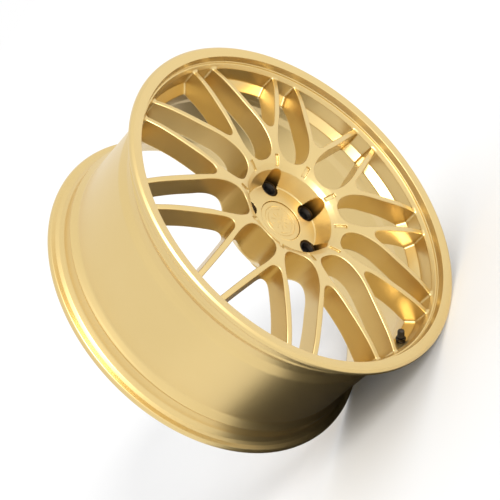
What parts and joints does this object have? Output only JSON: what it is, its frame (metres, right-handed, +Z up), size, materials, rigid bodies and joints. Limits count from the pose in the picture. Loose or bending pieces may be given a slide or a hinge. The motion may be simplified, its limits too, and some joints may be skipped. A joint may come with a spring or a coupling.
{
  "type": "wheel rim",
  "caption": "Forged multi-spoke wheel rim with forked spokes, recessed five-lug hub, push-in centre cap and clamp-in tyre valve.",
  "frame": {"origin": "on the wheel's axis, halfway between the outboard lip and the inboard flange edge", "axes": "+Y along the wheel's axis towards the inboard side, so the spoked face looks towards -Y; +Z up with the wheel standing on its flanges"},
  "size_m": [0.497, 0.2242, 0.497],
  "materials": {
    "wheel_gold": "satin gold paint over forged aluminium",
    "lug_seat_steel": "black oxide",
    "cap_gold": "satin gold",
    "cap_emblem": "satin gold, embossed plain rings",
    "spring_steel": "bright wire",
    "valve_metal": "black anodised",
    "valve_cap_black": "black moulded",
    "rubber_seal": "matt",
    "brass": "machined"
  },
  "bodies": {
    "wheel": {"rim_outboard_flange": "wheel_gold", "rim_barrel": "wheel_gold", "rim_inboard_flange": "wheel_gold", "hub_bowl": "wheel_gold", "hub_disc_sector_1": "wheel_gold", "hub_disc_sector_2": "wheel_gold", "hub_disc_sector_3": "wheel_gold", "hub_disc_sector_4": "wheel_gold", "hub_disc_sector_5": "wheel_gold", "spoke_01_stem": "wheel_gold", "spoke_01_arm_a": "wheel_gold", "spoke_01_arm_b": "wheel_gold", "spoke_02_stem": "wheel_gold", "spoke_02_arm_a": "wheel_gold", "spoke_02_arm_b": "wheel_gold", "spoke_03_stem": "wheel_gold", "spoke_03_arm_a": "wheel_gold", "spoke_03_arm_b": "wheel_gold", "spoke_04_stem": "wheel_gold", "spoke_04_arm_a": "wheel_gold", "spoke_04_arm_b": "wheel_gold", "spoke_05_stem": "wheel_gold", "spoke_05_arm_a": "wheel_gold", "spoke_05_arm_b": "wheel_gold", "spoke_06_stem": "wheel_gold", "spoke_06_arm_a": "wheel_gold", "spoke_06_arm_b": "wheel_gold", "spoke_07_stem": "wheel_gold", "spoke_07_arm_a": "wheel_gold", "spoke_07_arm_b": "wheel_gold", "spoke_08_stem": "wheel_gold", "spoke_08_arm_a": "wheel_gold", "spoke_08_arm_b": "wheel_gold", "spoke_09_stem": "wheel_gold", "spoke_09_arm_a": "wheel_gold", "spoke_09_arm_b": "wheel_gold", "spoke_10_stem": "wheel_gold", "spoke_10_arm_a": "wheel_gold", "spoke_10_arm_b": "wheel_gold", "lug_seat_1": "lug_seat_steel", "lug_seat_2": "lug_seat_steel", "lug_seat_3": "lug_seat_steel", "lug_seat_4": "lug_seat_steel", "lug_seat_5": "lug_seat_steel", "valve_stem": "valve_metal", "valve_grommet": "rubber_seal", "valve_washer": "valve_metal", "valve_nut": "valve_metal", "valve_core_body": "brass", "valve_core_spring": "spring_steel"},
    "centre_cap": {"centre_cap": "cap_gold", "cap_emblem_disc": "cap_emblem", "cap_snap_ring": "spring_steel"},
    "valve_core": {"valve_core_pin": "brass"},
    "valve_seal": {"valve_cap_seal": "rubber_seal"},
    "valve_cap": {"valve_cap": "valve_cap_black"}
  },
  "joints": [
    {"name": "centre_cap_pull", "type": "slide", "parent": "wheel", "child": "centre_cap", "axis": [0, -1, 0], "range_m": [0, 0.022]},
    {"name": "valve_core_press", "type": "slide", "parent": "wheel", "child": "valve_core", "axis": [-0.196, 0.7731, -0.6033], "range_m": [0, 0.0015], "stiffness_N_per_m": 600},
    {"name": "valve_cap_lift", "type": "slide", "parent": "wheel", "child": "valve_seal", "axis": [0.196, -0.7731, 0.6033], "range_m": [0, 0.0047]},
    {"name": "valve_cap_turn", "type": "hinge", "parent": "valve_seal", "child": "valve_cap", "pos_m": [-0.06798, -0.0692, -0.20923], "axis": [0.196, -0.7731, 0.6033], "range_deg": [0, 2160]}
  ],
  "couplings": [
    {"joint": "valve_cap_turn", "follows": "valve_cap_lift", "rad_per_m": 7913.3}
  ]
}
